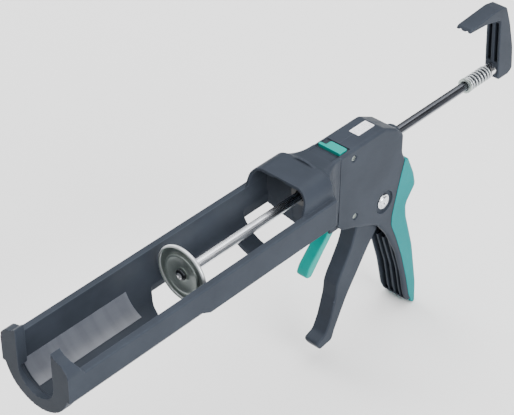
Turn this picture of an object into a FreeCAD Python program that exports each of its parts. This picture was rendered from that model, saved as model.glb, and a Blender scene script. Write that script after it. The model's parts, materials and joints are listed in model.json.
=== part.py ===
import FreeCAD, Part
import math
import os
from FreeCAD import Vector

# Caulking gun with a half-shell cradle for a 310 ml cartridge.
# The origin is on the push rod's axis, at the front face of the nose yoke.
# +X runs back along the rod to the pull hook, +Z is up, -Y is the side with the bolt head.

# ---- cradle ----
BORE_R = 26.3            # inside radius of the trough, for a 50 mm cartridge
TROUGH_R = 30.0          # outside radius of the trough
RAIL_HALF = 31.8         # half width over the side rails
RIM_Z = 9.8              # top of the side rails
RAIL_FRONT_Z = -8.0      # lower edge of the rails at the front
RAIL_REAR_Z = -13.0      # lower edge of the deeper rear skirt
SKIRT_X = 119.0          # where the skirt starts to step down
SKIRT_STEP = 10.0
YOKE_LONG = 8.0          # thickness of the nose yoke along the gun
SLOT_HALF = 16.5         # half width of the nozzle slot
SLOT_Z = -4.0            # centre height of the nozzle slot's round bottom
EAR_Z = 23.2             # top of the two ears
GUSSET_X = 14.5          # where the slope behind each ear meets the rail
WINDOW_FRONT = [         # (x, y, corner radius) of the far half; the near half mirrors it
    (206.5, 20.7, 3), (124.3, 20.7, 1.5), (117.5, 12.5, 20), (114.2, 4, 0)]
WINDOW_REAR = [
    (258.0, 5, 0), (257.0, 12, 12), (254.3, 20, 12), (250.0, 25.3, 1.5), (222.0, 25.3, 2)]
WINDOW_TOP = -6.5        # height up to which the windows cut the trough
HOOD_X = 227.0           # front lip of the hood, at the rail
HOOD_RAKE = 0.35         # how far the lip leans back for each mm of height
HOOD_END = 260.0
HOOD_HALF = 27.6
HOOD_Z = 27.9
HOOD_WALL = 2.4
BULKHEAD_X = 258.0       # rear wall of the cartridge bay
JOINT_X = 285.0          # where the cradle's shoulder meets the housing

# ---- housing and grip ----
HOUSE_HALF = 13.5        # half width over the two halves
WALL = 3.0
HOUSE_ROUND = 2.5        # rounding of the housing's outer edges
DECK_Z = 24.6
PIVOT_X = 339.5
PIVOT_Z = -45.0
SEAT_R = 9.8             # round recess around the bolt's head
SEAT_DEPTH = 2.2
UPPER_SCREW = (300.2, 15.8)
LOWER_SCREW = (304.6, -39.2)
RECESS_X = (276.2, 298.0)    # shallow recess in the deck for the drip-stop slider
RECESS_HALF = 10.9
RECESS_FLOOR = DECK_Z - 1.6
SLOT_X = (287.0, 296.3)      # slot in the recess for the slider's tongue
SOFT_SKIN = 0.7          # how far the soft overlay stands proud on each side

# ---- push rod ----
ROD_FLATS = 7.0          # across flats of the hexagonal rod
ROD_FRONT = 136.0
ROD_REAR = 500.0
PLATE_X = 138.2          # rear plane of the push plate's rim
PLATE_R = 22.5
ROD_HOLE_R = 4.6         # holes that the rod slides through
BUSH_R = 4.3             # bore of the bushes
SPRING_FRONT = 453.0
SPRING_REAR = 482.0
COLLAR_LONG = 1.6
HOOK_HALF = 6.8
HOOK_PIN_X = 495.0
HOOK_PIN_R = 1.5
HOOK_PIN_Y = (-5.0, 6.2)

FIT = 0.06               # radial running clearance on pins
GAP = 0.35               # clearance between parts that move past each other


# ---- small geometry helpers ----
def box(x, y, z):
    """Box between the pairs (low, high) in each direction."""
    solid = Part.makeBox(x[1] - x[0], y[1] - y[0], z[1] - z[0])
    solid.translate(Vector(x[0], y[0], z[0]))
    return solid


def rod_x(radius, x0, x1, y=0.0, z=0.0):
    return Part.makeCylinder(radius, x1 - x0, Vector(x0, y, z), Vector(1, 0, 0))


def rod_y(radius, y0, y1, x, z):
    return Part.makeCylinder(radius, y1 - y0, Vector(x, y0, z), Vector(0, 1, 0))


def ring_x(outer, inner, x0, x1):
    return rod_x(outer, x0, x1).cut(rod_x(inner, x0 - 1, x1 + 1))


def rounded_wire(corners, place):
    """Closed wire through corners (a, b, radius), each rounded by an arc."""
    count = len(corners)
    runs = []
    for i in range(count):
        here = Vector(corners[i][0], corners[i][1], 0)
        radius = corners[i][2]
        before = (Vector(corners[i - 1][0], corners[i - 1][1], 0) - here).normalize()
        after_corner = corners[(i + 1) % count]
        after = (Vector(after_corner[0], after_corner[1], 0) - here).normalize()
        half = before.getAngle(after) / 2
        if radius == 0 or half > math.radians(89.5):
            runs.append((here, here, here))
            continue
        reach = radius / math.tan(half)
        middle = (before + after).normalize() * (radius / math.sin(half) - radius)
        runs.append((here + before * reach, here + middle, here + after * reach))
    edges = []
    for i in range(count):
        used = runs[i][2].distanceToPoint(Vector(corners[i][0], corners[i][1], 0))
        next_corner = Vector(corners[(i + 1) % count][0], corners[(i + 1) % count][1], 0)
        used += runs[(i + 1) % count][0].distanceToPoint(next_corner)
        if used > next_corner.distanceToPoint(Vector(corners[i][0], corners[i][1], 0)) + 1e-6:
            raise ValueError("the arcs at corners %d and %d overlap" % (i, i + 1))
        start, middle, end = [place(p) for p in runs[i]]
        following = place(runs[(i + 1) % count][0])
        if start.distanceToPoint(end) > 1e-6:
            edges.append(Part.Arc(start, middle, end).toShape())
        if end.distanceToPoint(following) > 1e-6:
            edges.append(Part.makeLine(end, following))
    return Part.Wire(edges)


def plate_y(corners, y0, y1):
    """Outline (x, z, radius), extruded across the gun from y0 to y1."""
    wire = rounded_wire(corners, lambda p: Vector(p.x, y0, p.y))
    return Part.Face(wire).extrude(Vector(0, y1 - y0, 0))


def bar_x(corners, x0, x1):
    """Outline (y, z, radius), extruded along the gun from x0 to x1."""
    wire = rounded_wire(corners, lambda p: Vector(x0, p.x, p.y))
    return Part.Face(wire).extrude(Vector(x1 - x0, 0, 0))


def slab_z(corners, z0, z1):
    """Outline (x, y, radius), extruded upwards from z0 to z1."""
    wire = rounded_wire(corners, lambda p: Vector(p.x, p.y, z0))
    return Part.Face(wire).extrude(Vector(0, 0, z1 - z0))


def rectangle(a0, a1, b0, b1, radius):
    return [(a0, b0, radius), (a1, b0, radius), (a1, b1, radius), (a0, b1, radius)]


def both_sides(half_outline):
    """Closes an outline of (across, along, radius) points with its mirror image."""
    mirrored = [(-p[0], p[1], p[2]) for p in reversed(half_outline)]
    return half_outline + mirrored


def other_half(plan):
    """Plan (x, y, radius) mirrored to the other side of the gun."""
    return [(x, -y, radius) for x, y, radius in reversed(plan)]


def hexagon_x(flats, x0, x1):
    """Hexagonal bar along the gun, with flats on top and bottom."""
    corner = flats / math.sqrt(3)
    corners = []
    for i in range(6):
        turn = math.radians(60 * i)
        corners.append((corner * math.cos(turn), corner * math.sin(turn), 0))
    return bar_x(corners, x0, x1)


def coil_x(mean_r, wire_r, x0, x1, turns):
    """Coil spring along the rod's axis, drawn as one swept wire."""
    pitch = (x1 - x0 - 2 * wire_r) / turns
    helix = Part.makeHelix(pitch, pitch * turns, mean_r)
    section = Part.Wire(Part.makeCircle(wire_r, Vector(mean_r, 0, 0), Vector(0, 1, 0)))
    coil = Part.Wire(helix.Edges).makePipeShell([section], True, True)
    coil.rotate(Vector(0, 0, 0), Vector(0, 1, 0), 90)
    coil.translate(Vector(x0 + wire_r, 0, 0))
    return coil


def soften(shape, radius, chosen):
    """Round the edges for which chosen(edge) is true."""
    edges = [e for e in shape.Edges if chosen(e)]
    return shape.makeFillet(radius, edges)


def on_side(y, x_low=-1e9, z_high=1e9):
    """Edges that lie in the plane of the given y, within limits."""
    def chosen(edge):
        low, high = edge.BoundBox.YMin, edge.BoundBox.YMax
        flat = abs(low - y) < 1e-4 and abs(high - y) < 1e-4
        centre = edge.BoundBox.Center
        return flat and centre.x > x_low and centre.z < z_high
    return chosen


def on_both_sides(half, x_low=-1e9, z_high=1e9):
    """Edges that lie in either of the planes y = half and y = -half."""
    near, far = on_side(-half, x_low, z_high), on_side(half, x_low, z_high)
    return lambda edge: near(edge) or far(edge)


def save(name, shape):
    shape.exportStep("parts/" + name + ".step")


# ---- cradle: trough, rails, nose yoke, hood, bulkhead and shoulder ----
def trough():
    tube = rod_x(TROUGH_R, 0, HOOD_END)
    upper = box((-1, HOOD_END + 1), (-40, 40), (0, 40))
    shell = tube.cut(upper)
    rail_outline = [
        (0, RIM_Z, 0), (0, RAIL_FRONT_Z, 0), (SKIRT_X, RAIL_FRONT_Z, 3),
        (SKIRT_X + SKIRT_STEP, RAIL_REAR_Z, 3), (HOOD_END, RAIL_REAR_Z, 0), (HOOD_END, RIM_Z, 0)]
    rails = plate_y(rail_outline, -RAIL_HALF, RAIL_HALF)
    rails = soften(rails, 1.2, lambda e: abs(e.BoundBox.Center.z - RIM_Z) < 1e-3 and e.Length > 200)
    return shell.fuse(rails)


def yoke():
    ear = [
        (-RAIL_HALF, RAIL_FRONT_Z, 0), (RAIL_HALF, RAIL_FRONT_Z, 0), (RAIL_HALF, 15.5, 7), (26.0, 20.8, 6),
        (SLOT_HALF, EAR_Z, 0), (-SLOT_HALF, EAR_Z, 0), (-26.0, 20.8, 6), (-RAIL_HALF, 15.5, 7)]
    block = bar_x(ear, 0, YOKE_LONG).fuse(rod_x(TROUGH_R + 0.3, 0, YOKE_LONG))
    slope = plate_y([
        (0, RIM_Z - 2, 0), (GUSSET_X, RIM_Z - 2, 0), (GUSSET_X, RIM_Z, 0),
        (YOKE_LONG, EAR_Z - 3, 0), (0, EAR_Z - 3, 0)], -RAIL_HALF, RAIL_HALF)
    gussets = bar_x(ear, 0, GUSSET_X).common(slope).cut(box((-1, 20), (-24, 24), (-40, 40)))
    return block.fuse(gussets)


def yoke_cone():
    """Conical seat behind the nozzle slot, on which the cartridge's shoulder rests."""
    cone = Part.makeCone(SLOT_HALF, BORE_R, YOKE_LONG, Vector(1.5, 0, 0), Vector(1, 0, 0))
    return cone.common(box((0, 20), (-40, 40), (-40, -6)))


def nozzle_slot():
    slot = [
        (-SLOT_HALF, EAR_Z + 20, 0), (-SLOT_HALF, SLOT_Z - SLOT_HALF, SLOT_HALF - 0.1),
        (SLOT_HALF, SLOT_Z - SLOT_HALF, SLOT_HALF - 0.1), (SLOT_HALF, EAR_Z + 20, 0)]
    return bar_x(slot, -1, YOKE_LONG + 1)


def hood_section(half, top, radius, x0, x1):
    return bar_x([(-half, 0, 0), (half, 0, 0), (half, top, radius), (-half, top, radius)], x0, x1)


def hood_lip():
    """Everything in front of the raked lip."""
    lean = HOOD_RAKE * (40 - RIM_Z)
    return plate_y([
        (HOOD_X - 60, 60, 0), (HOOD_X - 60, 0, 0), (HOOD_X, 0, 0), (HOOD_X, RIM_Z, 0),
        (HOOD_X + lean, 40, 0), (HOOD_X + lean, 60, 0)], -40, 40)


def bulkhead_corners():
    """Fillets that close the bay's two rear corners, following the rear window's end."""
    side = BORE_R - 0.1
    plan = [
        (BULKHEAD_X + 0.5, 9, 0), (257.4, 9, 0), (257.0, 12, 12), (254.3, 20, 12), (249.6, side, 0),
        (BULKHEAD_X + 0.5, side, 0)]
    corner = slab_z(plan, -BORE_R, HOOD_Z - 1)
    corner = corner.fuse(slab_z(other_half(plan), -BORE_R, HOOD_Z - 1))
    hood = hood_section(HOOD_HALF - 1, HOOD_Z - 1, 10, 240, BULKHEAD_X + 1)
    return corner.common(hood.fuse(rod_x(BORE_R + 1, 240, BULKHEAD_X + 1)))


def shoulder_section(t):
    """Outline (y, z, radius) of the neck, from t = 0 behind the hood to t = 1 at the housing."""
    swell = (1 - t) ** 2.4
    rail = HOUSE_HALF + (RAIL_HALF - HOUSE_HALF) * swell
    side = HOUSE_HALF - 0.1 + (HOOD_HALF - HOUSE_HALF) * swell
    crown = DECK_Z - 0.3 + (HOOD_Z - DECK_Z) * (1 - t) ** 4
    inset = 0.5 + 11.0 * swell
    drop = 0.8 + 10.5 * swell
    return both_sides([
        (side - inset, crown, 0), (side - 0.3 * inset, crown - 0.3 * drop, 0), (side, crown - drop, 0),
        (side, RIM_Z, 0), (rail, RIM_Z - 0.2, 0), (rail, RAIL_REAR_Z, 0),
        (HOUSE_HALF - 0.1 + 13.5 * swell, RAIL_REAR_Z - 0.3, 0),
        (HOUSE_HALF - 0.5 + 7.5 * swell, -21.5 - 15.0 * t, 0), (9.0 + 2.0 * t, -28.5 - 10.5 * t, 0)])


def shoulder():
    """Hollow-sided neck that narrows from the hood to the width of the housing."""
    steps = 8
    wires = []
    for i in range(steps + 1):
        x = HOOD_END + i / steps * (JOINT_X - HOOD_END)
        wires.append(rounded_wire(shoulder_section(i / steps), lambda p, x=x: Vector(x, p.x, p.y)))
    neck = Part.makeLoft(wires, True, True)
    deck = box((HOOD_END - 1, JOINT_X), (-HOUSE_HALF, HOUSE_HALF), (0, DECK_Z))
    deck = soften(deck, 2.5, lambda e: abs(e.BoundBox.Center.z - DECK_Z) < 1e-3 and e.Length > 20)
    return neck.fuse(deck)


def slider_recess():
    """Room for the drip-stop slider in the deck of the cradle and of the housing."""
    pocket = box(RECESS_X, (-RECESS_HALF, RECESS_HALF), (RECESS_FLOOR, DECK_Z + 1))
    return pocket.fuse(box(SLOT_X, (-1.3, 1.3), (DECK_Z - 9, DECK_Z + 1)))


def tongues():
    """Tabs behind the shoulder that the two housing screws pass through."""
    low, high = HOUSE_HALF - WALL - 2.2, HOUSE_HALF - WALL - 0.15
    tabs = []
    for side in (-1, 1):
        y = sorted((side * low, side * high))
        tabs.append(box((JOINT_X - 6, UPPER_SCREW[0] + 6), y, (9.5, 21.0)))
        tabs.append(box((JOINT_X - 6, LOWER_SCREW[0] + 5), y, (-43.5, -31.5)))
    tabs.append(rod_y(4.2, -high, high, *UPPER_SCREW))
    tabs.append(rod_y(4.2, -high, high, *LOWER_SCREW))
    return tabs[0].fuse(tabs[1:])


def cradle():
    body = trough().fuse(yoke())
    body = body.fuse(hood_section(HOOD_HALF, HOOD_Z, 12, HOOD_X, HOOD_END).cut(hood_lip()))
    body = body.fuse(rod_x(TROUGH_R, BULKHEAD_X, HOOD_END))
    bay = rod_x(BORE_R, YOKE_LONG, BULKHEAD_X)
    bay_top = box((YOKE_LONG, BULKHEAD_X), (-BORE_R, BORE_R), (0, RIM_Z + 1))
    hood_inside = hood_section(HOOD_HALF - HOOD_WALL, HOOD_Z - HOOD_WALL, 9, HOOD_X - 1, BULKHEAD_X)
    body = body.cut(bay).cut(bay_top).cut(hood_inside).cut(nozzle_slot()).cut(yoke_cone())
    body = body.fuse(bulkhead_corners())
    for window in (WINDOW_FRONT, WINDOW_REAR):
        body = body.cut(slab_z(window + other_half(window), -40, WINDOW_TOP))
    body = body.fuse(shoulder()).fuse(tongues())
    inner = HOUSE_HALF - WALL
    body = body.cut(box((HOOD_END, JOINT_X + 1), (-inner + 2, inner - 2), (-30, DECK_Z - 3)))
    body = body.cut(box((270, JOINT_X + 1), (-7.5, 7.5), (-60, -20)))
    body = body.cut(rod_x(6.5, BULKHEAD_X - 1, HOOD_END + 1))
    body = body.cut(slider_recess())
    body = body.cut(rod_y(1.7, -20, 20, *UPPER_SCREW)).cut(rod_y(1.7, -20, 20, *LOWER_SCREW))
    body = body.cut(rod_y(2.5 + FIT, -20, 20, *LEVER_PIN))
    return body.removeSplitter()


def info_panel():
    """Thin label that follows the trough's floor behind the yoke."""
    sheet = ring_x(BORE_R - 0.05, BORE_R - 0.45, YOKE_LONG + 2.0, 103.0)
    return sheet.common(box((0, 200), (9.0, 24.2), (-40, -10.4)))


# ---- housing halves with the grip ----
HOUSE_OUTLINE = [
    (JOINT_X, DECK_Z, 0), (335, DECK_Z, 8), (351, 16.5, 8), (359.5, 8, 4), (359.5, -8, 6),
    (364.5, -20, 8), (372.5, -40, 10), (375.0, -49.5, 5), (364.5, -64, 9), (367, -77, 20),
    (377, -110, 60), (384.5, -158, 20), (386.0, -168.5, 3), (379.3, -168.0, 3), (374.5, -159, 20),
    (367.5, -130, 60), (359, -105, 60), (345.5, -80, 15), (334.5, -66, 6), (328, -61.5, 6),
    (306, -51.2, 20), (291, -45.5, 6), (JOINT_X, -39, 0)]
CAVITY_OUTLINE = [
    (JOINT_X - 1, DECK_Z - WALL, 0), (333, DECK_Z - WALL, 6), (349, 14, 6), (356.0, 7, 3),
    (356.0, -9, 6), (361.5, -21, 8), (369.5, -41, 8), (371.5, -49, 4), (361, -64.5, 9),
    (363.5, -78, 20), (373.5, -111, 60), (381.5, -165, 1), (350, -165, 0), (300, -75, 0),
    (JOINT_X - 1, -60, 0)]
SOFT_OUTLINE = [
    (361.5, -16.5, 1), (368.0, -19.0, 3), (377.0, -37.0, 12), (380.0, -48.5, 6), (369.2, -62.5, 9),
    (371.0, -75.0, 20), (381.5, -109.0, 30), (384.6, -118.0, 3), (384.8, -123.5, 3), (386.4, -129.0, 3),
    (386.5, -134.5, 3), (388.0, -140.0, 3), (388.0, -145.5, 3), (389.4, -151.0, 3), (389.6, -160.0, 10),
    (391.0, -171.8, 3), (384.6, -172.4, 3), (379.0, -161.5, 20), (373.4, -139.4, 60), (365.1, -111.6, 60),
    (356.0, -88.0, 20), (349.4, -73.5, 10), (349.2, -64.0, 20), (354.5, -41.6, 60), (357.5, -30.0, 20)]
GRIP_BACK = [            # the cover's back without its finger ripples, well past the housing in front
    (300, -12, 0), (366.0, -12, 4), (377.2, -36.5, 12), (380.2, -48.5, 7), (369.3, -62.5, 9),
    (371.0, -75.0, 20), (381.5, -109.0, 60), (389.7, -152.0, 60), (391.3, -180.0, 0), (300, -180.0, 0)]
BACK_ROUND = 5.5         # rounding of the cover's two long rear edges
LEVER_PIN = (292.5, -37.0)


def housing_half(side):
    """One half of the housing: side is -1 for the bolt-head side, 1 for the nut side."""
    def span(a, b):
        return sorted((side * a, side * b))
    inner = HOUSE_HALF - WALL
    shell = plate_y(HOUSE_OUTLINE, *span(0, HOUSE_HALF))
    shell = soften(shell, HOUSE_ROUND, on_side(side * HOUSE_HALF, JOINT_X + 1))
    shell = shell.cut(plate_y(CAVITY_OUTLINE, *span(-1, inner)))
    boss = rod_x(8.6, 352, 363.5).cut(rod_x(6.0, 340, 370))
    shell = shell.fuse(boss.common(box((340, 380), span(0, 20), (-20, 20))))
    shell = shell.cut(rod_x(6.0, 340, 370))
    guide = box((300.5, 303.5), span(0, inner + 0.5), (-8, 8.5))
    shell = shell.fuse(guide.cut(rod_x(ROD_HOLE_R, 290, 310)))
    for y0, y1 in ((0, 1.1), (5.0, 6.8)):
        fin = plate_y([
            (357.5, -96, 0), (371, -96, 0), (375.5, -111, 0), (383.5, -165.8, 0),
            (379.0, -165.8, 2), (376.0, -158, 20), (369.5, -130, 40)], *span(y0, y1))
        shell = shell.fuse(fin)
    shell = shell.cut(slider_recess())
    shell = shell.cut(rod_y(5.0 + FIT, -20, 20, PIVOT_X, PIVOT_Z))
    seat = rod_y(SEAT_R, *span(HOUSE_HALF - SEAT_DEPTH, HOUSE_HALF + 1), PIVOT_X, PIVOT_Z)
    shell = shell.cut(seat)
    for x, z in (UPPER_SCREW, LOWER_SCREW):
        if side < 0:
            shell = shell.cut(rod_y(1.7, -20, 0, x, z)).cut(rod_y(2.9, -20, -HOUSE_HALF + 1.2, x, z))
        else:
            shell = shell.cut(rod_y(1.4, 0, HOUSE_HALF - 1.0, x, z))
    shell = shell.cut(rod_y(2.5, *span(inner - 1, inner + 1.2), *LEVER_PIN))
    return shell.removeSplitter()


def housing_screws():
    screws = []
    for x, z in (UPPER_SCREW, LOWER_SCREW):
        head = rod_y(2.75, -HOUSE_HALF + 0.2, -HOUSE_HALF + 1.2, x, z)
        shank = rod_y(1.4, -HOUSE_HALF + 1.2, HOUSE_HALF - 1.5, x, z)
        drive = rod_y(0.95, -HOUSE_HALF + 0.1, -HOUSE_HALF + 0.8, x, z)
        screws.append(head.fuse(shank).cut(drive))
    return Part.makeCompound(screws)


def grip_overlay():
    half = HOUSE_HALF + SOFT_SKIN
    cover = soften(plate_y(SOFT_OUTLINE, -half, half), 1.2, on_both_sides(half))
    rounded = soften(plate_y(GRIP_BACK, -half, half), BACK_ROUND, on_both_sides(half, 360, -15))
    core = plate_y(HOUSE_OUTLINE, -HOUSE_HALF, HOUSE_HALF)
    core = soften(core, HOUSE_ROUND, on_both_sides(HOUSE_HALF, JOINT_X + 1))
    return cover.common(rounded).cut(core)


def deck_label():
    return slab_z(rectangle(314.8, 333.6, -4.7, 4.5, 0.8), DECK_Z, DECK_Z + 0.25)


# ---- trigger and its pivot ----
TRIGGER_HALF = 7.0
TRIGGER_OUTLINE = [
    (331.6, -15.8, 3.7), (339.3, -15.8, 3.7), (346, -34, 6), (352, -46, 9), (347, -62, 8),
    (340.8, -74.3, 20), (331.2, -86, 40), (319, -104, 60), (306.8, -122, 60), (294, -147, 8),
    (290.8, -156.2, 4), (276.5, -158.0, 2.5), (272.0, -150, 2.5), (282, -146.3, 6),
    (287.5, -135, 30), (292.8, -116, 6), (294.0, -104, 4), (296.8, -97.5, 4), (301.5, -90, 30),
    (309.5, -75.5, 30), (314.3, -60.5, 8), (318, -48, 8), (330, -38, 8)]


def trigger():
    lever = plate_y(TRIGGER_OUTLINE, -TRIGGER_HALF, TRIGGER_HALF)
    lever = soften(lever, 1.2, on_both_sides(TRIGGER_HALF))
    hub_half = HOUSE_HALF - WALL - GAP
    lever = lever.fuse(rod_y(10.0, -hub_half, hub_half, PIVOT_X, PIVOT_Z))
    lever = lever.cut(rod_y(6.5, -20, 20, PIVOT_X, PIVOT_Z))
    channel = plate_y([
        (336, -84, 0), (352, -84, 0), (318, -146, 0), (297.0, -146, 2), (292.6, -143, 2),
        (298.5, -126, 10), (300.5, -111, 6), (305, -99, 8), (314, -84, 3)], -4.6, 4.6)
    for x, z in ((311, -101), (303, -124)):
        channel = channel.cut(box((x - 20, x + 30), (-5, 5), (z - 0.8, z + 0.8)))
    return lever.cut(channel)


def trigger_bush():
    half = HOUSE_HALF - WALL - GAP
    return rod_y(6.5, -half, half, PIVOT_X, PIVOT_Z).cut(rod_y(5.0 + FIT, -20, 20, PIVOT_X, PIVOT_Z))


def pivot_bolt():
    seat = -HOUSE_HALF + SEAT_DEPTH
    top = -HOUSE_HALF - 0.7
    shank = rod_y(5.0, seat, HOUSE_HALF - 1.0, PIVOT_X, PIVOT_Z)
    head = rod_y(6.4, top, seat, PIVOT_X, PIVOT_Z)
    head = head.makeFillet(1.6, [e for e in head.Edges if e.BoundBox.YMax < top + 0.1])
    return head.fuse(shank).cut(rod_y(2.2, top - 1, top + 1.3, PIVOT_X, PIVOT_Z))


def pivot_clip():
    """Retaining ring on the far end of the bolt."""
    ring = rod_y(8.0, HOUSE_HALF - SEAT_DEPTH, HOUSE_HALF - 0.7, PIVOT_X, PIVOT_Z)
    return ring.cut(rod_y(5.0, 0, 20, PIVOT_X, PIVOT_Z))


# ---- drive plate, release lever and brake ----
DRIVE_X = 327.6
BRAKE_X = 288.0
BRAKE_TILT = 7.0
BRAKE_HINGE_Z = 15.0


def drive_plate():
    plate = bar_x(rectangle(-9, 9, -25.5, 12, 3), DRIVE_X, DRIVE_X + 3.0)
    return plate.cut(rod_x(ROD_HOLE_R, DRIVE_X - 1, DRIVE_X + 4))


def brake_plate():
    plate = bar_x(rectangle(-7.5, 7.5, -19, BRAKE_HINGE_Z, 2.5), BRAKE_X, BRAKE_X + 2.5)
    plate = plate.cut(rod_x(ROD_HOLE_R + 0.2, BRAKE_X - 1, BRAKE_X + 4))
    plate.rotate(Vector(BRAKE_X, 0, BRAKE_HINGE_Z), Vector(0, 1, 0), -BRAKE_TILT)
    return plate


LEVER_HALF = 5.3
LEVER_OUTLINE = [
    (296.6, -15.0, 1.2), (299.4, -15.0, 1.2), (298.6, -30, 4), (297.0, -41, 4), (289.5, -50, 12),
    (278.3, -63.0, 20), (270.0, -73.0, 8), (265.0, -79.2, 2.8), (258.4, -77.4, 2.8), (262.0, -69.5, 8),
    (271.0, -60.0, 20), (281.0, -50.0, 20), (286.8, -41, 6), (291.0, -30, 4),
    (295.4, -20.5, 4)]


def release_lever():
    lever = plate_y(LEVER_OUTLINE, -LEVER_HALF, LEVER_HALF)
    lever = soften(lever, 1.2, on_both_sides(LEVER_HALF))
    return lever.cut(rod_y(2.5 + FIT, -20, 20, *LEVER_PIN))


def release_pin():
    half = HOUSE_HALF - WALL + 1.0
    return rod_y(2.5, -half, half, *LEVER_PIN)


def drip_slider():
    """Drip-stop switch on the deck: a raised bar across the front and a lower pad behind it."""
    floor = RECESS_FLOOR + 0.15
    front, rear = RECESS_X[0] + 10.4, RECESS_X[1] - 2.0
    bar = slab_z(rectangle(front, front + 2.8, -10.4, 10.4, 1.2), floor, DECK_Z + 1.2)
    pad = slab_z(rectangle(front + 1.5, rear, -10.0, 5.7, 1.5), floor, DECK_Z + 0.4)
    tongue = box((rear - 1.6, rear - 0.1), (-0.9, 0.9), (DECK_Z - 7.5, DECK_Z - 1))
    return bar.fuse(pad).fuse(tongue)


# ---- push rod with plate, spring and hook ----
def push_rod():
    rod = hexagon_x(ROD_FLATS, ROD_FRONT, ROD_REAR)
    return rod.cut(rod_x(2.0, ROD_FRONT - 1, ROD_FRONT + 14))


def push_plate():
    """Pressed disc: a rolled rim, a flat ring and a dished middle."""
    profile = [
        (0, PLATE_R, 0.5), (0, PLATE_R - 1.6, 0.5), (-1.6, PLATE_R - 2.6, 1), (-1.6, 16.6, 1),
        (1.2, 15.2, 1), (1.2, 0, 0), (2.8, 0, 0), (2.8, 16.6, 0.6), (0.2, 18.0, 0.6),
        (0.2, PLATE_R - 3.2, 0.6), (2.8, PLATE_R - 1.2, 0.6), (2.8, PLATE_R, 0.5)]
    wire = rounded_wire(profile, lambda p: Vector(PLATE_X - 5.0 + p.x, 0, p.y))
    disc = Part.Face(wire).revolve(Vector(0, 0, 0), Vector(1, 0, 0), 360)
    return disc.cut(rod_x(2.2, PLATE_X - 10, PLATE_X + 5))


def plate_screw():
    head = rod_x(4.4, PLATE_X - 7.6, PLATE_X - 4.8)
    head = head.makeFillet(1.2, [e for e in head.Edges if e.BoundBox.XMax < PLATE_X - 7])
    shank = rod_x(2.0, PLATE_X - 4.8, ROD_FRONT + 12)
    cross = box((PLATE_X - 8, PLATE_X - 6), (-2.4, 2.4), (-0.5, 0.5))
    cross = cross.fuse(box((PLATE_X - 8, PLATE_X - 6), (-0.5, 0.5), (-2.4, 2.4)))
    return head.fuse(shank).cut(cross)


def plate_washer():
    return ring_x(5.6, 2.2, PLATE_X - 4.8, PLATE_X - 3.8)


def rod_spring():
    return coil_x(5.2, 0.85, SPRING_FRONT + COLLAR_LONG + 0.2, SPRING_REAR, 7)


def spring_collar():
    """Loose ring in front of the end spring, which meets the housing first."""
    return ring_x(6.2, BUSH_R, SPRING_FRONT, SPRING_FRONT + COLLAR_LONG)


HOOK_OUTLINE = [
    (489.0, -8.8, 3), (503.5, -8.8, 4), (508.7, -5.5, 4), (506.3, 16, 60), (499.3, 40.5, 60),
    (492.5, 58.0, 5), (481.0, 60.0, 8), (446.5, 57.2, 1), (443.0, 54.2, 1), (467.0, 52.6, 20),
    (485.5, 48.5, 3), (487.3, 20, 60), (489.2, -2.0, 20)]


def hook_handle():
    handle = plate_y(HOOK_OUTLINE, -HOOK_HALF, HOOK_HALF)
    handle = soften(handle, 0.8, on_both_sides(HOOK_HALF))
    for y in (-3.1, 3.1):
        slot = plate_y([(480, 7.5, 0), (501, 7.5, 2), (494, 45.0, 2), (480, 45.0, 0)], y - 1.7, y + 1.7)
        groove = plate_y([
            (440, 46, 0), (484, 46, 0), (484, 50.8, 3), (467, 54.2, 20), (440, 55.8, 0)], y - 1.3, y + 1.3)
        handle = handle.cut(slot).cut(groove)
    return handle.cut(hexagon_x(ROD_FLATS, 480, ROD_REAR)).cut(pin_hole())


def pin_hole():
    """Blind hole for the hook's pin, drilled from the +Y side."""
    return rod_y(HOOK_PIN_R, HOOK_PIN_Y[0], HOOK_HALF + 1, HOOK_PIN_X, 0)


def hook_ferrule():
    """Sleeve on the rod that the end spring bears on."""
    return ring_x(5.3, 4.1, SPRING_REAR + 0.2, 488.5)


def hook_pin():
    return rod_y(HOOK_PIN_R, *HOOK_PIN_Y, HOOK_PIN_X, 0)


def bushes():
    front = ring_x(6.5, BUSH_R, BULKHEAD_X - 1.0, HOOD_END).fuse(
        ring_x(8.5, BUSH_R, BULKHEAD_X - 2.2, BULKHEAD_X))
    rear = ring_x(6.0, BUSH_R, 353.0, 363.5).fuse(
        ring_x(7.4, BUSH_R, 363.5, 364.6))
    return front, rear


def main():
    os.makedirs("parts", exist_ok=True)
    front_bush, rear_bush = bushes()
    nodes = {
        "cradle": cradle(),
        "info_panel": info_panel(),
        "housing_right": housing_half(-1),
        "housing_left": housing_half(1),
        "housing_screws": housing_screws(),
        "grip_overlay": grip_overlay(),
        "deck_label": deck_label(),
        "pivot_bolt": pivot_bolt(),
        "pivot_clip": pivot_clip(),
        "front_rod_bush": front_bush,
        "rear_rod_bush": rear_bush,
        "release_pin": release_pin(),
        "trigger": trigger(),
        "trigger_bush": trigger_bush(),
        "drive_plate": drive_plate(),
        "drive_spring": coil_x(7.0, 0.8, 304.0, DRIVE_X - 0.3, 5),
        "brake_plate": brake_plate(),
        "brake_spring": coil_x(6.8, 0.7, HOOD_END + 0.3, BRAKE_X - 0.4, 5),
        "release_lever": release_lever(),
        "drip_slider": drip_slider(),
        "push_rod": push_rod().cut(pin_hole()),
        "push_plate": push_plate(),
        "plate_screw": plate_screw(),
        "plate_washer": plate_washer(),
        "rod_spring": rod_spring(),
        "spring_collar": spring_collar(),
        "hook_ferrule": hook_ferrule(),
        "hook_handle": hook_handle(),
        "hook_pin": hook_pin(),
    }
    for name, shape in nodes.items():
        save(name, shape)
        print(name, len(shape.Solids), shape.isValid(), round(shape.Volume))


main()
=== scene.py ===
"""Looks of a caulking gun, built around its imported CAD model. Metres, in the CAD's frame:
the origin is on the push rod's axis at the nose, +X runs back to the hook, +Z is up."""
import json
import math

import bmesh
import bpy
from mathutils import Matrix, Vector


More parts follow.
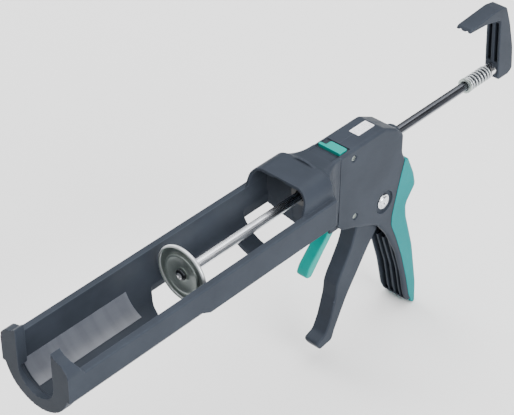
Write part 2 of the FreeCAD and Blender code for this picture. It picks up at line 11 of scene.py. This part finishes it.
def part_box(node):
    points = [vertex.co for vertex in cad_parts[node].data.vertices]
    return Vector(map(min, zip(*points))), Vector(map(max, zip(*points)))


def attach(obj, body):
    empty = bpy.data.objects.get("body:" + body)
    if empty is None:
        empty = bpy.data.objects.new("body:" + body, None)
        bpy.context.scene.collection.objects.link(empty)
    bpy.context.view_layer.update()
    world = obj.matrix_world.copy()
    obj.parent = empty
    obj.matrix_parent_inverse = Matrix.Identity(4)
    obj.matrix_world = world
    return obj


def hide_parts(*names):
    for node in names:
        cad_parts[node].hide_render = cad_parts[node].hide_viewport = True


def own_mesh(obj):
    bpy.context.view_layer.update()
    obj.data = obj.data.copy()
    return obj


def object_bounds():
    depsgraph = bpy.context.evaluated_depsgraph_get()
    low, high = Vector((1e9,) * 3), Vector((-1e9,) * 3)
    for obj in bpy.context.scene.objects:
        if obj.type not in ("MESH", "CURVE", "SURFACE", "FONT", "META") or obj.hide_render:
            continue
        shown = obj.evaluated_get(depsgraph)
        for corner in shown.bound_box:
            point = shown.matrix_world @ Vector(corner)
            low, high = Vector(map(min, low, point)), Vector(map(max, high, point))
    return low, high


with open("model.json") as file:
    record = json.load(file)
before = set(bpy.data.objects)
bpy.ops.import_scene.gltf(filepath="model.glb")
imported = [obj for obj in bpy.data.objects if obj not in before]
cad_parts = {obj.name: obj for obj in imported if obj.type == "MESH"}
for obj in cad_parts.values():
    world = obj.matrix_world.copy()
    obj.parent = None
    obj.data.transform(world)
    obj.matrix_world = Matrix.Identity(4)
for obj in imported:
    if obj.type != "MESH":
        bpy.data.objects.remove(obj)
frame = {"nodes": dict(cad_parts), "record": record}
CAD_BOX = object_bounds()
MM = 0.001
NODES = frame["nodes"]
SEAM_X = 285.0              # mm, where the cradle meets the housing
ROD_PAINTED_SHADE = (0.25, 0.34)    # m, along X, where the rod is painted darker: painted shade for the dimmer reflection it shows behind the housing
PLATE_RIM_HIGHLIGHT = (21.1 * MM, 21.6 * MM)     # from the rod's axis, where the push plate's rim is painted paler: a painted highlight
SCREW_CROSS = (2.3 * MM, 2.7 * MM)     # from the rod's axis, inside which the plate screw is bright
LENS = 121.84319            # mm, on a sensor 36 mm wide
ROW_PITCH = 1.5 * MM        # of the marks on the deck label
ROW_REACH = 3.6 * MM        # from the middle of the label to the last row
TURNED_SMOOTH = 50          # degrees: faces that meet at less than this are shaded as one
ROUND_SMOOTH = 60           # degrees, the same for mouldings and coiled wire
BODY_OF = {node: body for body, nodes in frame["record"]["behaviour"]["bodies"].items() for node in nodes}
SLOT_OF = {entry["node"]: entry["material_slot"] for entry in frame["record"]["subparts"]}


# ---- materials ----
class Shader:
    """A small helper that adds nodes to one procedural material."""

    def __init__(self, name):
        self.material = bpy.data.materials.new(name)
        self.material.use_nodes = True
        self.tree = self.material.node_tree
        self.surface = self.tree.nodes["Principled BSDF"]
        self.coords = self.tree.nodes.new("ShaderNodeTexCoord").outputs["Object"]

    def link(self, output, socket):
        self.tree.links.new(output, socket)

    def noise(self, scale, detail=4.0, rough=0.55, stretch=None):
        node = self.tree.nodes.new("ShaderNodeTexNoise")
        node.inputs["Scale"].default_value = scale
        node.inputs["Detail"].default_value = detail
        node.inputs["Roughness"].default_value = rough
        source = self.coords
        if stretch:
            mapping = self.tree.nodes.new("ShaderNodeMapping")
            mapping.inputs["Scale"].default_value = stretch
            self.link(source, mapping.inputs["Vector"])
            source = mapping.outputs["Vector"]
        self.link(source, node.inputs["Vector"])
        return node.outputs["Fac"]

    def ramp(self, value, low, high, low_out=0.0, high_out=1.0):
        node = self.tree.nodes.new("ShaderNodeMapRange")
        node.inputs["From Min"].default_value = low
        node.inputs["From Max"].default_value = high
        node.inputs["To Min"].default_value = low_out
        node.inputs["To Max"].default_value = high_out
        self.link(value, node.inputs["Value"])
        return node.outputs["Result"]

    def math(self, operation, a, b=0.0):
        node = self.tree.nodes.new("ShaderNodeMath")
        node.operation = operation
        for socket, value in zip(node.inputs, (a, b)):
            if isinstance(value, (int, float)):
                socket.default_value = value
            else:
                self.link(value, socket)
        return node.outputs[0]

    def mix(self, factor, a, b):
        node = self.tree.nodes.new("ShaderNodeMix")
        node.data_type = "RGBA"
        self.link(factor, node.inputs[0])
        for socket, value in zip((node.inputs[6], node.inputs[7]), (a, b)):
            if isinstance(value, tuple):
                socket.default_value = (*value, 1.0)
            else:
                self.link(value, socket)
        return node.outputs[2]

    def position(self):
        """X, Y and Z of the shaded point in the frame, in metres."""
        node = self.tree.nodes.new("ShaderNodeSeparateXYZ")
        self.link(self.coords, node.inputs[0])
        return node.outputs["X"], node.outputs["Y"], node.outputs["Z"]

    def from_rod_axis(self):
        """Distance of the shaded point from the push rod's axis."""
        across, up = self.position()[1:]
        square = self.math("ADD", self.math("MULTIPLY", across, across), self.math("MULTIPLY", up, up))
        return self.math("SQRT", square)

    def edges(self, low, high):
        """1 on sharp outer edges, 0 elsewhere; low and high are values of Blender's pointiness."""
        geometry = self.tree.nodes.new("ShaderNodeNewGeometry")
        return self.ramp(geometry.outputs["Pointiness"], low, high)

    def bump(self, height, strength, distance):
        node = self.tree.nodes.new("ShaderNodeBump")
        node.inputs["Strength"].default_value = strength
        node.inputs["Distance"].default_value = distance
        self.link(height, node.inputs["Height"])
        self.link(node.outputs["Normal"], self.surface.inputs["Normal"])

    def set(self, **values):
        for name, value in values.items():
            self.surface.inputs[name.replace("_", " ")].default_value = value


def linear(red, green, blue):
    """Scene-linear colour of an 8-bit screen colour."""
    def channel(value):
        value /= 255.0
        return value / 12.92 if value <= 0.04045 else ((value + 0.055) / 1.055) ** 2.4
    return channel(red), channel(green), channel(blue)


def scaled(colour, factor):
    return tuple(min(1.0, c * factor) for c in colour)


def plastic(name, colour, rough, grain_mm, bump, wear_and_highlight, variation=0.12,
            pattern=None, pattern_colour=None, **values):
    """Moulded plastic: a slow colour drift, a fine spark-eroded grain and paler edges, partly rubbed wear
    and partly a painted highlight.
    """
    drift_scale, scuff_scale, paler = 28.0, 260.0, 2.2
    corner = (0.515, 0.58)
    shader = Shader(name)
    drift = shader.ramp(shader.noise(drift_scale, 3.0), 0.3, 0.7)
    base = shader.mix(drift, scaled(colour, 1 - variation), scaled(colour, 1 + variation))
    grain = shader.noise(1.0 / (grain_mm * MM), 5.0, 0.6)
    scuffs = shader.noise(scuff_scale, 6.0, 0.7, (1.0, 1.0, 3.0))
    # edges are painted paler where scuffs lie: part rubbed wear, part a painted highlight along rims and
    # edges
    rubbed_and_highlit = shader.math("MULTIPLY", shader.edges(*corner), shader.ramp(scuffs, 0.3, 0.6, 0.35, 1.0))
    rubbed_and_highlit = shader.math("MULTIPLY", rubbed_and_highlit, wear_and_highlight)
    base = shader.mix(rubbed_and_highlit, base, scaled(colour, paler))
    if pattern:
        base = shader.mix(pattern(shader), base, pattern_colour)
    shader.link(base, shader.surface.inputs["Base Color"])
    uneven = shader.ramp(scuffs, 0.3, 0.75, rough - 0.07, rough + 0.08)
    shader.link(uneven, shader.surface.inputs["Roughness"])
    shader.bump(grain, bump, 0.05 * MM)
    shader.set(**values)
    return shader.material


def metal(name, colour, rough, stretch, bump, metallic=1.0, spots=0.15, zone=None, zone_colour=None):
    """Drawn or rolled steel: fine lines along one direction, faint stains and bright edges."""
    line_scale, stain_scale, brighter = 900.0, 90.0, 1.6
    corner = (0.52, 0.6)
    shader = Shader(name)
    lines = shader.noise(line_scale, 4.0, 0.6, stretch)
    stains = shader.ramp(shader.noise(stain_scale, 5.0, 0.6), 0.35, 0.75)
    base = shader.mix(stains, scaled(colour, 1 + spots), scaled(colour, 1 - spots))
    worn = shader.math("MULTIPLY", shader.edges(*corner), 0.5)
    base = shader.mix(worn, base, scaled(colour, brighter))
    # zone paints zone_colour over the base: painted shade on the push rod behind the housing, a painted
    # highlight on the push plate's rim, the plate screw's bright middle
    if zone:
        base = shader.mix(zone(shader), base, zone_colour)
    shader.link(base, shader.surface.inputs["Base Color"])
    uneven = shader.ramp(lines, 0.3, 0.7, rough - 0.08, rough + 0.1)
    shader.link(uneven, shader.surface.inputs["Roughness"])
    shader.bump(lines, bump, 0.03 * MM)
    shader.set(Metallic=metallic)
    return shader.material


def print_rows(shader):
    """Faint rows of marks on the deck label, with nothing legible in them."""
    across = shader.position()[1]
    phase = shader.math("FRACT", shader.math("MULTIPLY", across, 1 / ROW_PITCH))
    row = shader.math("GREATER_THAN", phase, 0.5)
    broken = shader.ramp(shader.noise(900.0, 2.0, 0.5, (1.0, 0.3, 1.0)), 0.45, 0.55, 0.0, 0.4)
    inside = shader.math("COMPARE", across)
    inside.node.inputs[2].default_value = ROW_REACH
    return shader.math("MULTIPLY", shader.math("MULTIPLY", row, broken), inside)


def panel_bands(shader):
    """Slow bands across the film in the trough."""
    return shader.ramp(shader.noise(110.0, 2.0, 0.5, (1.0, 0.05, 0.05)), 0.45, 0.6, 0.0, 0.3)


def rod_painted_shade(shader):
    """0 on the rod inside the cradle, 1 behind the housing, where the rod gets painted shade."""
    return shader.ramp(shader.position()[0], *ROD_PAINTED_SHADE)


def plate_rim_highlight(shader):
    """1 on the push plate's rim, where a painted highlight goes."""
    return shader.ramp(shader.from_rod_axis(), *PLATE_RIM_HIGHLIGHT)


def screw_middle(shader):
    """1 on the middle of the plate screw's head."""
    return shader.ramp(shader.from_rod_axis(), *SCREW_CROSS, 1.0, 0.0)


def make_materials():
    every_way = (1.0, 1.0, 1.0)
    return {
        "slate_plastic": plastic(
            "slate_plastic", linear(50, 55, 63), rough=0.4, grain_mm=0.35, bump=0.25, wear_and_highlight=0.5, IOR=1.13),
        "grey_film": plastic(
            "grey_film", linear(84, 88, 97), rough=0.42, grain_mm=0.8, bump=0.05, wear_and_highlight=0.1, variation=0.08,
            pattern=panel_bands, pattern_colour=linear(112, 116, 126)),
        "white_film": plastic(
            "white_film", linear(240, 240, 245), rough=0.35, grain_mm=0.8, bump=0.03, wear_and_highlight=0.0,
            variation=0.03, pattern=print_rows, pattern_colour=linear(120, 125, 138)),
        "teal_soft": plastic(
            "teal_soft", linear(20, 118, 120), rough=0.6, grain_mm=0.28, bump=0.4, wear_and_highlight=0.15,
            variation=0.06, IOR=1.2),
        "teal_plastic": plastic(
            "teal_plastic", linear(8, 140, 132), rough=0.34, grain_mm=0.5, bump=0.12, wear_and_highlight=0.25,
            variation=0.06, IOR=1.25),
        "black_plastic": plastic(
            "black_plastic", linear(34, 35, 38), rough=0.5, grain_mm=0.4, bump=0.2, wear_and_highlight=0.3),
        "zinc": metal(
            "zinc", linear(150, 158, 154), rough=0.42, stretch=every_way, bump=0.25, metallic=0.85,
            spots=0.12),
        "bright_steel": metal(
            "bright_steel", linear(214, 216, 220), rough=0.2, stretch=every_way, bump=0.1),
        # painted shade: the rod's colour turns darker behind the housing, for the dimmer reflection it shows
        # there
        "plated_rod": metal(
            "plated_rod", linear(212, 215, 221), rough=0.27, stretch=(0.02, 1.0, 1.0), bump=0.15,
            zone=rod_painted_shade, zone_colour=linear(104, 107, 114)),
        # painted highlight: the push plate's rim is painted paler than the rest of the plate
        "pressed_zinc": metal(
            "pressed_zinc", linear(140, 149, 146), rough=0.38, stretch=every_way, bump=0.25, metallic=0.55,
            spots=0.12, zone=plate_rim_highlight, zone_colour=linear(205, 209, 211)),
        "blackened_screw": metal(
            "blackened_screw", linear(62, 65, 68), rough=0.35, stretch=every_way, bump=0.2,
            zone=screw_middle, zone_colour=linear(235, 236, 238)),
        "dark_steel": metal(
            "dark_steel", linear(105, 108, 112), rough=0.38, stretch=(1.0, 1.0, 0.1), bump=0.2),
        "spring_steel": metal(
            "spring_steel", linear(176, 180, 182), rough=0.36, stretch=every_way, bump=0.1),
    }


# ---- pieces made from the frame's own shapes ----
def new_object(name, data):
    thing = bpy.data.objects.new(name, data)
    bpy.context.scene.collection.objects.link(thing)
    return thing


def copy_of(node, name):
    """A free copy of a CAD node's mesh, with shared corners joined."""
    piece = new_object(name, NODES[node].data.copy())
    work = bmesh.new()
    work.from_mesh(piece.data)
    bmesh.ops.remove_doubles(work, verts=work.verts, dist=0.004 * MM)
    work.to_mesh(piece.data)
    work.free()
    return piece


def apply_modifiers(piece):
    graph = bpy.context.evaluated_depsgraph_get()
    mesh = bpy.data.meshes.new_from_object(piece.evaluated_get(graph))
    piece.modifiers.clear()
    piece.data = mesh


def shade_smooth(piece, degrees):
    for polygon in piece.data.polygons:
        polygon.use_smooth = True
    piece.data.set_sharp_from_angle(angle=math.radians(degrees))


def hand_over(piece, node, material=None):
    """The piece rides with the node's body and stands for it."""
    piece.data.materials.clear()
    piece.data.materials.append(MATERIALS[material or SLOT_OF[node]])
    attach(piece, BODY_OF[node])
    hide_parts(node)


def smooth_all(piece, steps, weight=None):
    """Rounds the mesh; weight(point in mm) limits it to a part of the piece."""
    smooth = piece.modifiers.new("smooth", "SMOOTH")
    smooth.factor = 0.5
    smooth.iterations = steps
    if weight:
        group = piece.vertex_groups.new(name="zone")
        for vertex in piece.data.vertices:
            amount = weight(vertex.co / MM)
            if amount > 0:
                group.add([vertex.index], min(1.0, amount), "REPLACE")
        smooth.vertex_group = group.name
    apply_modifiers(piece)
    piece.vertex_groups.clear()


def ramp_between(value, low, high):
    return max(0.0, min(1.0, (value - low) / (high - low)))


def off_the_seam(p):
    """0 at the joint between the cradle and the housing, 1 away from it."""
    return ramp_between(abs(p.x - SEAM_X), 0.3, 1.6)


def on_the_shoulder(p):
    """1 on both sides of the cradle's end, where its shoulders slope behind the hood.

    0 in front of that and near the middle plane.
    """
    behind_hood = ramp_between(p.x, 258, 262)
    ahead_of_end = 1 - ramp_between(p.x, 284.5, 286)
    off_the_middle = ramp_between(abs(p.y), 12.9, 14.5)
    return behind_hood * ahead_of_end * off_the_middle


def moulded(node, name, voxel_mm, passes):
    """A CAD solid rebuilt from small voxels, which softens its corners, and then smoothed.

    Each pass is (steps, weight): weight says how much each point moves, and None moves them all.
    """
    piece = copy_of(node, name)
    remesh = piece.modifiers.new("remesh", "REMESH")
    remesh.mode = "VOXEL"
    remesh.voxel_size = voxel_mm * MM
    apply_modifiers(piece)
    for steps, weight in passes:
        smooth_all(piece, steps, weight)
    shade_smooth(piece, ROUND_SMOOTH)
    hand_over(piece, node)


def moulded_parts():
    # the cradle is smoothed on its shoulders only; its second pass weighs the points that the first moved
    moulded("cradle", "cradle_moulding", 0.6, [(40, on_the_shoulder), (3, on_the_shoulder)])
    moulded("housing_right", "housing_right_shell", 0.5, [(3, off_the_seam)])
    moulded("housing_left", "housing_left_shell", 0.5, [(3, off_the_seam)])
    moulded("grip_overlay", "grip_soft_cover", 0.55, [(5, None)])
    moulded("trigger", "trigger_moulding", 0.5, [(14, None)])
    moulded("release_lever", "release_lever_moulding", 0.4, [(16, None)])
    moulded("drip_slider", "drip_slider_moulding", 0.2, [(2, None)])
    moulded("hook_handle", "hook_moulding", 0.4, [(3, None)])


# ---- turned and coiled metal parts ----
def turned(work, profile, place, segments=96):
    """Adds a solid of revolution from (along, radius) points; place(along, a, b) gives frame mm."""
    rings = []
    for along, radius in profile:
        if radius < 1e-6:
            rings.append([work.verts.new(Vector(place(along, 0.0, 0.0)) * MM)])
            continue
        turns = [2 * math.pi * i / segments for i in range(segments)]
        points = [place(along, radius * math.cos(turn), radius * math.sin(turn)) for turn in turns]
        rings.append([work.verts.new(Vector(point) * MM) for point in points])
    for first, second in zip(rings, rings[1:]):
        for i in range(segments):
            k = (i + 1) % segments
            around = ((first, i), (first, k), (second, k), (second, i))
            corners = [ring[j % len(ring)] for ring, j in around]
            corners = [c for n, c in enumerate(corners) if c not in corners[:n]]
            if len(corners) > 2:
                work.faces.new(corners)


def unshaded(work, name):
    bmesh.ops.recalc_face_normals(work, faces=work.faces)
    mesh = bpy.data.meshes.new(name)
    work.to_mesh(mesh)
    work.free()
    return new_object(name, mesh)


def piece_from(work, name):
    piece = unshaded(work, name)
    shade_smooth(piece, TURNED_SMOOTH)
    return piece


def facing_y(x, y, z):
    """Places a turned part on an axis across the gun, with its head at y, towards -Y."""
    return lambda along, a, b: (x + a, y + along, z + b)


def cross_head(work, place, head_r, height, arm, half, shank_r, length):
    """Domed screw with a cross recess: its inner points are pressed in where the cross lies.

    Each bar of the cross reaches arm from the axis and is twice half wide.
    """
    fine = 0.1 * head_r

    def with_recess(along, a, b):
        in_cross = (abs(a) < half and abs(b) < arm) or (abs(b) < half and abs(a) < arm)
        on_dome = along < 0.5 * height and math.hypot(a, b) < 0.9 * head_r
        return place(along + (0.55 * height if in_cross and on_dome else 0.0), a, b)

    profile = [(0.0, 0.0)]
    for i in range(1, 10):
        profile.append((0.45 * height * (i / 10) ** 2, i * fine))
    profile += [(0.6 * height, 0.985 * head_r), (0.8 * height, head_r), (height, 0.97 * head_r)]
    profile += [(height, shank_r), (length, shank_r), (length, 0.0)]
    turned(work, profile, with_recess)


def screws():
    low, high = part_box("plate_screw")
    work = bmesh.new()
    front, length = low.x / MM, (high.x - low.x) / MM
    cross_head(work, lambda along, a, b: (front + along, a, b),
               head_r=4.4, height=2.8, arm=2.4, half=0.55, shank_r=2.0, length=length)
    hand_over(piece_from(work, "plate_fixing_screw"), "plate_screw", "blackened_screw")
    low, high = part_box("housing_screws")
    work = bmesh.new()
    inset = 2.75            # the CAD screw's head radius: its axis is this far inside their box
    for x, z in ((low.x / MM + inset, high.z / MM - inset), (high.x / MM - inset, low.z / MM + inset)):
        cross_head(work, facing_y(x, low.y / MM + 0.25, z),
                   head_r=2.25, height=1.3, arm=1.5, half=0.38, shank_r=1.4, length=24.0)
    hand_over(piece_from(work, "housing_cross_screws"), "housing_screws")


def pivot_head():
    """Pivot bolt with a stepped, domed head, a centre dimple and three short raised bars."""
    low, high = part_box("pivot_bolt")
    x, z = (low.x + high.x) / 2 / MM, (low.z + high.z) / 2 / MM
    top, length = low.y / MM, (high.y - low.y) / MM
    work = bmesh.new()
    dimple = [(1.2, 0.0), (1.1, 1.2), (0.55, 1.7)]
    dome = [(0.3, 2.3), (0.35, 3.4), (0.6, 4.2), (1.0, 4.7), (1.25, 4.9)]
    flange = [(1.2, 5.7), (1.45, 6.2), (1.9, 6.4), (2.8, 6.4)]
    shank = [(2.9, 5.0), (length - 0.6, 5.0), (length, 4.4), (length, 0.0)]
    turned(work, dimple + dome + flange + shank, facing_y(x, top, z))
    bar_deep, bar_out, bar_wide = (0.05, 0.7), (2.5, 4.0), (-0.3, 0.3)
    for k in range(3):
        turn = math.radians(90 + 120 * k)
        out = Vector((math.cos(turn), 0.0, math.sin(turn)))
        side = Vector((-math.sin(turn), 0.0, math.cos(turn)))
        corners = [out * a + side * b + Vector((0, c, 0))
                   for c in bar_deep for a in bar_out for b in bar_wide]
        points = [work.verts.new((Vector((x, top, z)) + corner) * MM) for corner in corners]
        for quad in ((0, 1, 3, 2), (4, 5, 7, 6), (0, 1, 5, 4), (2, 3, 7, 6), (0, 2, 6, 4), (1, 3, 7, 5)):
            work.faces.new([points[i] for i in quad])
    hand_over(piece_from(work, "pivot_bolt_turned"), "pivot_bolt")


def arc(cx, cy, radius, start, end, steps):
    """Points (along, radius) on an arc, angles in degrees."""
    points = []
    for i in range(steps + 1):
        turn = math.radians(start + (end - start) * i / steps)
        points.append((cx + radius * math.cos(turn), cy + radius * math.sin(turn)))
    return points


def coil(name, mean_r, wire_r, x0, x1, turns, dead_turns):
    """Spring with closed ends: its wire follows one helix whose pitch tightens at both ends."""
    steps = 28              # points in one turn
    apart = 1.02            # closed turns stand this many wire diameters apart, so they don't touch
    total = int((turns + 2 * dead_turns) * steps)
    low, high = x0 + wire_r, x1 - wire_r
    closed = 2 * wire_r * dead_turns * apart
    points = []
    for i in range(total + 1):
        n = i / steps
        if n < dead_turns:
            x = low + closed * n / dead_turns
        elif n > turns + dead_turns:
            x = high - closed * (turns + 2 * dead_turns - n) / dead_turns
        else:
            x = low + closed + (high - low - 2 * closed) * (n - dead_turns) / turns
        turn = 2 * math.pi * n
        points.append((x, mean_r * math.cos(turn), mean_r * math.sin(turn)))
    curve = bpy.data.curves.new(name, "CURVE")
    curve.dimensions = "3D"
    curve.bevel_depth = wire_r * MM
    curve.bevel_resolution = 4
    curve.use_fill_caps = True
    spline = curve.splines.new("POLY")
    spline.points.add(len(points) - 1)
    for target, point in zip(spline.points, points):
        target.co = (*(c * MM for c in point), 1.0)
    wire = new_object(name + "_wire", curve)
    mesh = bpy.data.meshes.new_from_object(wire.evaluated_get(bpy.context.evaluated_depsgraph_get()))
    bpy.data.objects.remove(wire)
    piece = new_object(name, mesh)
    shade_smooth(piece, ROUND_SMOOTH)
    return piece


def push_disc():
    """Pressed disc: a rolled rim, a shallow cone, a raised ring and a flat middle."""
    low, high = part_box("push_plate")
    front, rim_r = low.x / MM, high.z / MM
    back, hole_r, ring_r = 3.4, 2.3, 14.6
    profile = [(back, hole_r), (back, ring_r - 1.0)]
    profile += arc(back, ring_r, 1.0, -90, 0, 4)[1:]
    profile += [(4.3, 16.0), (4.6, 17.2), (4.4, 19.6)]
    profile += arc(2.4, rim_r - 1.6, 1.6, 20, 180, 8)
    profile += arc(2.4, rim_r - 1.6, 0.9, 180, 20, 6)
    profile += [(3.4, 19.4), (3.5, 17.2), (3.2, 16.0), (2.6, 15.4)]
    profile += arc(2.0, ring_r, 0.9, 40, 170, 4)
    profile += [(1.5, 13.4), (2.2, 12.8), (2.2, 6.0), (2.0, hole_r), (back, hole_r)]
    work = bmesh.new()
    turned(work, profile, lambda along, a, b: (front + along, a, b))
    hand_over(piece_from(work, "push_disc"), "push_plate", "pressed_zinc")


def springs():
    low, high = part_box("rod_spring")
    rod_coil = coil("rod_end_spring", mean_r=5.2, wire_r=0.85, x0=low.x / MM, x1=high.x / MM,
                    turns=6, dead_turns=1)
    hand_over(rod_coil, "rod_spring")
    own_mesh(rod_coil)
    low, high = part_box("drive_spring")
    drive_coil = coil("drive_return_spring", mean_r=7.0, wire_r=0.8, x0=low.x / MM, x1=high.x / MM,
                      turns=4, dead_turns=1)
    hand_over(drive_coil, "drive_spring")
    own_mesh(drive_coil)


def hex_rod():
    """Drawn hexagonal bar with softly broken edges and chamfered ends."""
    low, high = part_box("push_rod")
    corner = high.y
    chamfer, end_share = 0.8 * MM, 0.82
    work = bmesh.new()
    stations = [(low.x, end_share), (low.x + chamfer, 1.0), (high.x - chamfer, 1.0), (high.x, end_share)]
    turns = [math.radians(60 * i) for i in range(6)]
    rings = []
    for x, share in stations:
        points = [(x, corner * share * math.cos(turn), corner * share * math.sin(turn)) for turn in turns]
        rings.append([work.verts.new(point) for point in points])
    for first, second in zip(rings, rings[1:]):
        for i in range(6):
            k = (i + 1) % 6
            work.faces.new((first[i], first[k], second[k], second[i]))
    work.faces.new(rings[0])
    work.faces.new(rings[-1])
    rod = unshaded(work, "hex_rod")
    bevel = rod.modifiers.new("bevel", "BEVEL")
    bevel.width = 0.45 * MM
    bevel.segments = 3
    bevel.limit_method = "ANGLE"
    apply_modifiers(rod)
    shade_smooth(rod, TURNED_SMOOTH)
    hand_over(rod, "push_rod")


def carried_over():
    """CAD nodes whose shape is right keep it, and get their material."""
    for node, slot in SLOT_OF.items():
        if NODES[node].hide_render:
            continue
        NODES[node].data.materials.clear()
        NODES[node].data.materials.append(MATERIALS[slot])


# ---- camera, floor and lights ----
def place_camera():
    """The viewpoint of the photograph, solved from the rod, the yoke and the floor windows."""
    heading, down, roll = math.radians(42.102), math.radians(36.929), math.radians(0.330)
    ahead = Vector((math.cos(down) * math.cos(heading), math.cos(down) * math.sin(heading), -math.sin(down)))
    right = Vector((math.sin(heading), -math.cos(heading), 0.0))
    over = right.cross(ahead)
    right, over = (math.cos(roll) * right + math.sin(roll) * over,
                   math.cos(roll) * over - math.sin(roll) * right)
    place = Matrix((right, over, -ahead)).transposed().to_4x4()
    place.translation = Vector((-0.51416, -0.65397, 0.74802))
    camera = new_object("camera", bpy.data.cameras.new("camera"))
    camera.matrix_world = place
    camera.data.sensor_width = 36.0
    camera.data.lens = LENS
    camera.data.clip_end = 20.0
    bpy.context.scene.camera = camera


def make_floor():
    low = CAD_BOX[0][2] - 0.5 * MM
    size = 6.0
    corners = [(-size, -size, low), (size, -size, low), (size, size, low), (-size, size, low)]
    mesh = bpy.data.meshes.new("studio_floor")
    mesh.from_pydata(corners, [], [(0, 1, 2, 3)])
    floor = new_object("studio_floor", mesh)
    shader = Shader("studio_white")
    shader.set(Base_Color=(0.93, 0.93, 0.93, 1.0), Roughness=0.9)
    floor.data.materials.append(shader.material)


def area_light(name, place, target, size, power):
    light = bpy.data.lights.new(name, "AREA")
    light.shape = "RECTANGLE"
    light.size, light.size_y = size
    light.energy = power
    lamp = new_object(name, light)
    lamp.location = place
    lamp.rotation_euler = (Vector(target) - Vector(place)).to_track_quat("-Z", "Y").to_euler()


def light_studio():
    world = bpy.data.worlds.new("studio")
    world.use_nodes = True
    background = world.node_tree.nodes["Background"]
    background.inputs["Color"].default_value = (1.0, 1.0, 1.0, 1.0)
    background.inputs["Strength"].default_value = 0.15
    bpy.context.scene.world = world
    middle = (0.25, 0.0, 0.0)
    area_light("top_soft", (0.5, 0.2, 3.0), middle, size=(4.5, 4.5), power=250)
    area_light("side_soft", (0.05, -2.1, 0.9), middle, size=(1.6, 1.2), power=75)
    area_light("far_soft", (0.4, 2.2, 1.0), middle, size=(1.6, 1.2), power=35)
    area_light("rear_soft", (1.9, 0.3, 1.0), middle, size=(1.2, 1.2), power=8)


MATERIALS = make_materials()
place_camera()
make_floor()
light_studio()
moulded_parts()
push_disc()
screws()
pivot_head()
hex_rod()
springs()
carried_over()
